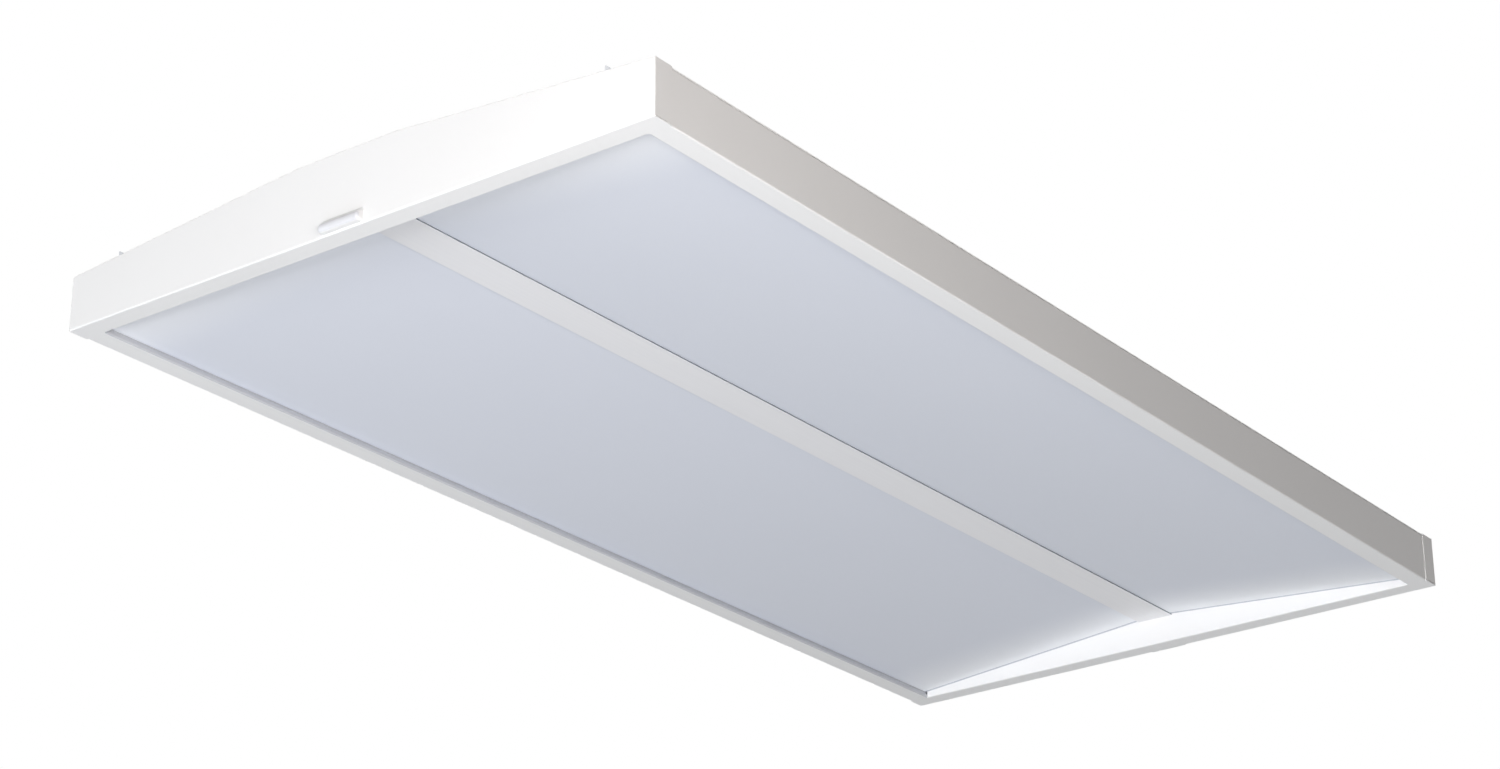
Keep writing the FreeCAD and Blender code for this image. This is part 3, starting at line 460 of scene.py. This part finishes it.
# A screw is three prisms, each with its number of sides, that stand on the seat or hang below.
screws, start = begin_group("washer_head_screws", SCREW_SIZES)
stack = add_node(screws, "GeometryNodeJoinGeometry")
for sides, radius, tall, lift in ((6, "Head radius", "Head height", 0.5),
                                  (28, "Washer radius", "Washer height", 0.5),
                                  (20, "Shank radius", "Shank length", -0.5)):
    bar = add_node(screws, "GeometryNodeMeshCylinder", {"Vertices": sides},
                   {"Radius": start.outputs[radius], "Depth": start.outputs[tall]})
    middle = add_node(screws, "ShaderNodeMath", {"operation": "MULTIPLY", 1: lift},
                      {0: start.outputs[tall]})
    shift = add_node(screws, "ShaderNodeCombineXYZ", {}, {"Z": middle.outputs[0]})
    moved = add_node(screws, "GeometryNodeTransform", {},
                     {"Geometry": bar.outputs["Mesh"], "Translation": shift.outputs[0]})
    screws.links.new(moved.outputs[0], stack.inputs[0])
end_group(screws, start, stack.outputs[0])

wireway_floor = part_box("wireway")[0].z / MM + SHEET
screw_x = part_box("spine_screws")[1].x / MM - CAD_HEAD_REACH
made = scatter("spine_washer_screws", [((end * screw_x, 0, wireway_floor), 0.0) for end in (-1, 1)],
               screws, plated, "light")
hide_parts("spine_screws")


# ---- Lamp boards and lamps -------------------------------------------------------------
# Eight aluminium-core boards with a white solder mask, riveted under the roof. Each carries a
# row of soldered white lamp packages with a round window of yellow phosphor, and the boards
# are joined by plain moulded connectors and bridges.
MASK_COLOURS = ("F4F4F0", "E8E8E1")
MASK_GLOSS = (0.3, 0.36)
PACKAGE_COLOURS = ("F3F2EE", "E9E8E3")
PHOSPHOR_COLOURS = ("F2D95C", "E3C23A")
PHOSPHOR_GLOSS = (0.42, 0.55)
NYLON_COLOURS = ("EFEDE4", "E6E4DA")
MOULDED_GLOSS = (0.36, 0.46)
MOULDED_HIGH_MM = 0.02
TRACK_MM = 6.0
TRACK_HIGH_MM = 0.05
TRACK_EDGE_SHARE = 0.06
TRACK_LENGTHS = 10.0
PHOSPHOR_GRAIN_MM = 0.5
PACKAGE_GRAIN_MM = 1.0
NYLON_GRAIN_MM = 0.9
BOARD_THICK = 1.2
LAMP_FIRST = 39.75
LAMP_STEP = 20.0
LAMP_COUNT = 25
PACKAGE_SIZES = {"Long": 3.5, "Wide": 2.8, "Rise": 0.7}
# The share of the package's length and width, and of its rise, that each step takes up.
PACKAGE_STEPS = ((1.0, 0.7), (0.86, 1.0))
WINDOW_SIZES = {"Radius": 1.1, "Rise": 0.12}
CONNECTOR_SPAN = (46, 64)

mask, tree, place = bare_surface("solder_mask_on_aluminium")
# Screened white ink over copper: near white, with the edges of the tracks as faint lines.
tracks = add_node(tree, "ShaderNodeTexBrick",
                  {"Scale": 1 / (TRACK_MM * MM), "Color1": (1, 1, 1, 1), "Color2": (1, 1, 1, 1),
                   "Mortar": (0, 0, 0, 1), "Mortar Size": TRACK_EDGE_SHARE,
                   "Brick Width": TRACK_LENGTHS, "Row Height": 1.0}, {"Vector": place})
coat_surface(tree, tracks.outputs["Fac"], MASK_COLOURS, MASK_GLOSS,
             tracks.outputs["Fac"], TRACK_HIGH_MM, IOR=1.5)
dress([name for name in NODES if name.startswith("lamp_board")], mask)

phosphor, tree, place = bare_surface("phosphor_in_silicone")
# Cured silicone gel full of yellow powder: matt, with a faint grain.
grain = add_node(tree, "ShaderNodeTexNoise", {"Scale": 1 / (PHOSPHOR_GRAIN_MM * MM)},
                 {"Vector": place})
coat_surface(tree, grain.outputs["Fac"], PHOSPHOR_COLOURS, PHOSPHOR_GLOSS, IOR=1.42)


def moulded(name, colours, grain_mm):
    """Injection-moulded plastic: one even colour with the fine grain of a spark-eroded mould."""
    made, tree, place = bare_surface(name)
    grain = add_node(tree, "ShaderNodeTexNoise", {"Scale": 1 / (grain_mm * MM)}, {"Vector": place})
    coat_surface(tree, grain.outputs["Fac"], colours, MOULDED_GLOSS, grain.outputs["Fac"],
                 MOULDED_HIGH_MM, IOR=1.53)
    return made


package_plastic = moulded("moulded_lamp_package", PACKAGE_COLOURS, PACKAGE_GRAIN_MM)
dress(["board_connectors", "board_bridges"],
      moulded("moulded_nylon", NYLON_COLOURS, NYLON_GRAIN_MM))

# A package is a low block that hangs from the board, with a narrower step on its face.
packages, start = begin_group("lamp_packages", PACKAGE_SIZES)
stack = add_node(packages, "GeometryNodeJoinGeometry")
for spread, share in PACKAGE_STEPS:
    long = add_node(packages, "ShaderNodeMath", {"operation": "MULTIPLY", 1: spread},
                    {0: start.outputs["Long"]})
    wide = add_node(packages, "ShaderNodeMath", {"operation": "MULTIPLY", 1: spread},
                    {0: start.outputs["Wide"]})
    tall = add_node(packages, "ShaderNodeMath", {"operation": "MULTIPLY", 1: share},
                    {0: start.outputs["Rise"]})
    size = add_node(packages, "ShaderNodeCombineXYZ", {},
                    {"X": long.outputs[0], "Y": wide.outputs[0], "Z": tall.outputs[0]})
    block = add_node(packages, "GeometryNodeMeshCube", {}, {"Size": size.outputs[0]})
    drop = add_node(packages, "ShaderNodeMath", {"operation": "MULTIPLY", 1: -0.5}, {0: tall.outputs[0]})
    shift = add_node(packages, "ShaderNodeCombineXYZ", {}, {"Z": drop.outputs[0]})
    hung = add_node(packages, "GeometryNodeTransform", {},
                    {"Geometry": block.outputs["Mesh"], "Translation": shift.outputs[0]})
    packages.links.new(hung.outputs[0], stack.inputs[0])
end_group(packages, start, stack.outputs[0])

windows, start = begin_group("phosphor_windows", WINDOW_SIZES)
disc = add_node(windows, "GeometryNodeMeshCylinder", {"Vertices": 14},
                {"Radius": start.outputs["Radius"], "Depth": start.outputs["Rise"]})
end_group(windows, start, disc.outputs["Mesh"])

board_face = 2 * SHEET + BOARD_THICK
package_places, window_places = [], []
for end in (-1, 1):
    for row in [side * y for y in BOARD_ROWS for side in (-1, 1)]:
        for x in [LAMP_FIRST + index * LAMP_STEP for index in range(LAMP_COUNT)]:
            # The connectors take the place of one lamp in each near row.
            if end > 0 or not CONNECTOR_SPAN[0] < x < CONNECTOR_SPAN[1]:
                package_places.append(on_roof(end * x, row, -board_face))
                window_places.append(on_roof(end * x, row, -board_face - PACKAGE_SIZES["Rise"]))
made = scatter("lamp_packages", package_places, packages, package_plastic, "light")
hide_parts("lamps")
scatter("lamp_windows", window_places, windows, phosphor, "light")


# ---- Driver ----------------------------------------------------------------------------
# A slim driver in a folded aluminium case, painted pale grey, screwed to the wireway's floor
# through a foot at each end.
DRIVER_COLOURS = ("E6E8EB", "DCDFE3")
DRIVER_PEEL_MM = 1.4
FOOT_THICK = 1.2
FOOT_HOLE = 5.4
FOOT_SIDE = 8.0

dress(["led_driver"], powder_coat("painted_aluminium_case", DRIVER_COLOURS, DRIVER_PEEL_MM))
low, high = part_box("led_driver")
foot_top = wireway_floor + FOOT_THICK
feet = [((low.x / MM + FOOT_HOLE, -FOOT_SIDE, foot_top), 0.0),
        ((high.x / MM - FOOT_HOLE, FOOT_SIDE, foot_top), 0.0)]
scatter("driver_washer_screws", feet, screws, plated, "light")


# ---- Cables, leads and grommets --------------------------------------------------------
# Round PVC-sheathed cables from the driver to the boards, and three leads to the disconnect.
# The cables pass through the wireway's walls in black rubber grommets.
WHITE_PVC = ("E9E9E6", "DFDFDB")
BLACK_PVC = ("1F1F20", "2A2A2B")
GREEN_PVC = ("2F7D43", "2A7040")
PVC_GLOSS = (0.34, 0.44)
RUBBER_COLOURS = ("1C1C1D", "2B2B2C")
RUBBER_GLOSS = (0.6, 0.75)
CABLE_RADIUS = 1.6
LEAD_RADIUS = 1.3
CABLE_X = -55.0
CABLE_SIDE = 5.0
CABLE_Z = wireway_floor + 7.7
CABLE_STRAIGHT = 20.0
WALL_Y = 19.0
WALL_INSIDE = 5.0
WALL_OUTSIDE = 4.2
RISE_Y = 46.0
PORT_REACH = 4.5
PORT_DEPTH = 2.0
PORT_STRAIGHT = 14.0
PVC_WAVER_MM = 4.0
RUBBER_BLOOM_MM = 3.0
LEAD_TOP = wireway_floor + 11.0
PORT_Z = wireway_floor + 4.5
LEAD_SIDE = 7.0
PLUG_START = 276.0
PLUG_INSIDE = 6.0
PLUG_GAP = 2.6
DRIVER_END = 240.0
LEAD_STRAIGHT = 10.0
LEAD_DROP_END = 24.0
BARREL_UP = 1.8
BARREL_OUTSIDE = 1.3
BARREL_INSIDE = 2.5


def extruded(name, colours):
    """Extruded PVC: an even colour with a slight sheen that wavers along the wire."""
    made, tree, place = bare_surface(name)
    waver = add_node(tree, "ShaderNodeTexNoise", {"Scale": 1 / (PVC_WAVER_MM * MM)}, {"Vector": place})
    coat_surface(tree, waver.outputs["Fac"], colours, PVC_GLOSS, IOR=1.53)
    return made


def wire(name, points, radius, material, stands_for):
    """Round wire on one smooth curve through these millimetre points."""
    data = bpy.data.curves.new(name, "CURVE")
    data.dimensions = "3D"
    data.bevel_depth = radius * MM
    data.bevel_resolution = 4
    data.resolution_u = 8
    data.use_fill_caps = True
    line = data.splines.new("NURBS")
    line.points.add(len(points) - 1)
    for point, spot in zip(line.points, points):
        point.co = (*(Vector(spot) * MM), 1)
    line.order_u = 3
    line.use_endpoint_u = True
    data.materials.append(material)
    made = bpy.data.objects.new(name, data)
    bpy.context.scene.collection.objects.link(made)
    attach(made, "light")
    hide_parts(stands_for)


def port(row, way):
    """Where a cable meets a board connector, on its inner (-1) or outer (1) face, as (y, z)."""
    along = way * PORT_REACH
    base = on_roof(0, row, -board_face)[0][2]
    return (row + along * math.cos(roof_tilt) - PORT_DEPTH * math.sin(roof_tilt),
            base - along * math.sin(roof_tilt) - PORT_DEPTH * math.cos(roof_tilt))


white_pvc = extruded("extruded_white_pvc", WHITE_PVC)
black_pvc = extruded("extruded_black_pvc", BLACK_PVC)
green_pvc = extruded("extruded_green_pvc", GREEN_PVC)
for side, name in ((1, "left"), (-1, "right")):
    y, z = port(BOARD_ROWS[0], -1)
    rise_end = (y - PORT_STRAIGHT * math.cos(roof_tilt), z + PORT_STRAIGHT * math.sin(roof_tilt))
    route = [(0, CABLE_SIDE, CABLE_Z), (-CABLE_STRAIGHT, CABLE_SIDE, CABLE_Z),
             (CABLE_X, CABLE_SIDE, CABLE_Z), (CABLE_X, WALL_Y - WALL_INSIDE, CABLE_Z),
             (CABLE_X, WALL_Y + WALL_OUTSIDE, CABLE_Z), (CABLE_X, RISE_Y, CABLE_Z),
             (CABLE_X, *rise_end), (CABLE_X, y, z)]
    wire("output_cable_round_" + name, [(px, side * py, pz) for px, py, pz in route], CABLE_RADIUS,
         white_pvc, "output_cable_" + name)
    first, last = port(BOARD_ROWS[0], 1), port(BOARD_ROWS[1], -1)
    middle = ((first[0] + last[0]) / 2, (first[1] + last[1]) / 2)
    wire("row_jumper_round_" + name, [(CABLE_X, side * py, pz) for py, pz in (first, middle, last)],
         CABLE_RADIUS, white_pvc, "row_jumper_" + name)

for name, y, material, slot in (("line", -LEAD_SIDE, black_pvc, "black_insulation"),
                                ("neutral", 0.0, white_pvc, "white_insulation")):
    wire("supply_lead_round_" + name,
         [(DRIVER_END, y, LEAD_TOP), (DRIVER_END + LEAD_STRAIGHT, y, LEAD_TOP),
          (DRIVER_END + LEAD_DROP_END, y, PORT_Z), (PLUG_START + PLUG_INSIDE, y, PORT_Z)],
         LEAD_RADIUS, material, "supply_lead_" + name)
barrel_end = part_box("ground_terminal")[1].x / MM
barrel_z = wireway_floor + BARREL_UP
wire("ground_lead_round",
     [(PLUG_START + PLUG_INSIDE, LEAD_SIDE, PORT_Z), (PLUG_START - PLUG_GAP, LEAD_SIDE, PORT_Z),
      (barrel_end + BARREL_OUTSIDE, LEAD_SIDE, barrel_z),
      (barrel_end - BARREL_INSIDE, LEAD_SIDE, barrel_z)],
     LEAD_RADIUS, green_pvc, "ground_lead")

rubber, tree, place = bare_surface("moulded_black_rubber")
# Moulded rubber: matt black, with a bloom of paler grey.
bloom = add_node(tree, "ShaderNodeTexNoise", {"Scale": 1 / (RUBBER_BLOOM_MM * MM)}, {"Vector": place})
coat_surface(tree, bloom.outputs["Fac"], RUBBER_COLOURS, RUBBER_GLOSS, IOR=1.52)
dress(["cable_grommet_left", "cable_grommet_right"], rubber)


# ---- Ground terminal, ground screw and disconnect --------------------------------------
# A tinned copper terminal under a green screw in the wireway's floor, and the two-part
# moulded disconnect that joins the driver's leads to the building's wires.
TIN_COLOURS = ("CFCBC4", "B9B4AB")
TIN_GLOSS = (0.3, 0.42)
GREEN_PLATE = ("2E8B4A", "27733E")
ORANGE_NYLON = ("E07B2E", "D3702A")
TIN_MOTTLE_MM = 1.5
CHROMATE_MM = 2.0
CHROMATE_METAL = 0.6
TERMINAL_THICK = 0.8

tin, tree, place = bare_surface("tinned_copper")
# Stamped copper with a thin tin plate: a warm bright grey, slightly mottled.
mottle = add_node(tree, "ShaderNodeTexNoise", {"Scale": 1 / (TIN_MOTTLE_MM * MM)}, {"Vector": place})
coat_surface(tree, mottle.outputs["Fac"], TIN_COLOURS, TIN_GLOSS, Metallic=1.0)
dress(["ground_terminal"], tin)

low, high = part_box("ground_screw")
seat = ((low.x + high.x) / 2 / MM, LEAD_SIDE, wireway_floor + TERMINAL_THICK)
chromate = zinc_coat("green_chromate_on_zinc", GREEN_PLATE, CHROMATE_MM, CHROMATE_METAL)
made = scatter("ground_washer_screw", [(seat, 0.0)], screws, chromate, "light")
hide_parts("ground_screw")

dress(["disconnect_plug", "disconnect_socket"],
      moulded("moulded_orange_nylon", ORANGE_NYLON, NYLON_GRAIN_MM))


# ---- Diffusers and their gaskets -------------------------------------------------------
# Two flat sheets of 2 mm opal acrylic with a satin face, which lie on closed-cell foam along
# the rails, and on the seats of the spine and the end plates.
# The first colour is painted light: a glow near the sheet's ends, for light thrown from the white end
# walls. The line colour is painted shade.
DIFFUSER_PAINTED_GLOW = "F9FBFF"
DIFFUSER_SHADE = "DEE2EC"
DIFFUSER_GLOSS = (0.38, 0.46)
GLOW_FROM = 500.0
GLOW_TO = 600.0
CLOUD_SHARE = 0.93
SHEET_LINE = "C6CAD4"
LINE_WIDE = 3.2
RECESS_HALF_LONG = 586.5
FILLER_MM = 180.0
SATIN_MM = 1.8
SATIN_HIGH_MM = 0.01
FOAM_COLOURS = ("BEC0C6", "D0D2D6")
FOAM_GLOSS = (0.7, 0.85)
PORE_MM = 1.2
PORE_HIGH_MM = 0.3

opal, tree, place = bare_surface("satin_opal_acrylic")
# Extruded acrylic with a light-scattering filler: a cool milk-white with a soft sheen. Towards
# its ends it is painted paler, a painted glow for the light that the white end walls throw onto
# it. Its satin texture is finer than 0.1 mm, and is drawn coarser so that it shows. A thin grey
# line of painted shade lies where the sheet goes over the end walls.
filler = add_node(tree, "ShaderNodeTexNoise", {"Scale": 1 / (FILLER_MM * MM)}, {"Vector": place})
satin = add_node(tree, "ShaderNodeTexNoise", {"Scale": 1 / (SATIN_MM * MM)}, {"Vector": place})
split = add_node(tree, "ShaderNodeSeparateXYZ", {}, {0: place})
away = add_node(tree, "ShaderNodeMath", {"operation": "ABSOLUTE"}, {0: split.outputs["X"]})
away_from_glow = add_node(tree, "ShaderNodeMapRange",
                 {"interpolation_type": "SMOOTHSTEP", "From Min": GLOW_FROM * MM,
                  "From Max": GLOW_TO * MM, "To Min": 1.0, "To Max": 0.0}, {"Value": away.outputs[0]})
cloud = add_node(tree, "ShaderNodeMapRange", {"To Min": CLOUD_SHARE, "To Max": 1.0},
                 {"Value": filler.outputs["Fac"]})
cloud_and_glow = add_node(tree, "ShaderNodeMath", {"operation": "MULTIPLY"},
                 {0: away_from_glow.outputs[0], 1: cloud.outputs[0]})
coat_surface(tree, cloud_and_glow.outputs[0], (DIFFUSER_PAINTED_GLOW, DIFFUSER_SHADE), DIFFUSER_GLOSS,
             satin.outputs["Fac"], SATIN_HIGH_MM,
             ("X", "GREATER_THAN", RECESS_HALF_LONG - LINE_WIDE, SHEET_LINE), IOR=1.49)
dress(["diffuser_left", "diffuser_right"], opal)

foam, tree, place = bare_surface("closed_cell_foam")
# Cut polyethylene foam: matt pale grey with open pores along its cut edge.
pores = add_node(tree, "ShaderNodeTexVoronoi", {"Scale": 1 / (PORE_MM * MM)}, {"Vector": place})
coat_surface(tree, pores.outputs["Distance"], FOAM_COLOURS, FOAM_GLOSS,
             pores.outputs["Distance"], PORE_HIGH_MM, IOR=1.5)
dress(["diffuser_gasket_left", "diffuser_gasket_right"], foam)


# ---- Hinges, grid clips, hangers and the cover's screw ---------------------------------
# The hinge leaves and hangers are stamped from galvanised sheet, and the clips are bright
# zinc plated. The hinge pins, the clip pivots and the captive screw of the cover are plated.
SHEET_ZINC = ("C6C9CD", "A4A8AD")
BRIGHT_ZINC = ("E2E4E7", "C9CCD0")
COVER_SHANK = 4.8

dress([name for name in NODES if name.startswith(("hanger_bracket", "hinge_leaf"))],
      zinc_coat("galvanised_steel_sheet", SHEET_ZINC, SPANGLE_MM))
dress([name for name in NODES if name.startswith("grid_clip")],
      zinc_coat("bright_zinc_on_steel", BRIGHT_ZINC, SPANGLE_MM / 2))
dress(["hinge_pin_near", "hinge_pin_far", "clip_pivots"], plated)
low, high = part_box("cover_screw")
seat = ((low.x + high.x) / 2 / MM, (low.y + high.y) / 2 / MM, high.z / MM - SCREW_SIZES["Head height"])
made = scatter("cover_washer_screw", [(seat, 0.0)], screws, plated, "access_cover",
               {"Shank length": COVER_SHANK * MM})
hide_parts("cover_screw")


bpy.context.scene.view_settings.view_transform = "Standard"
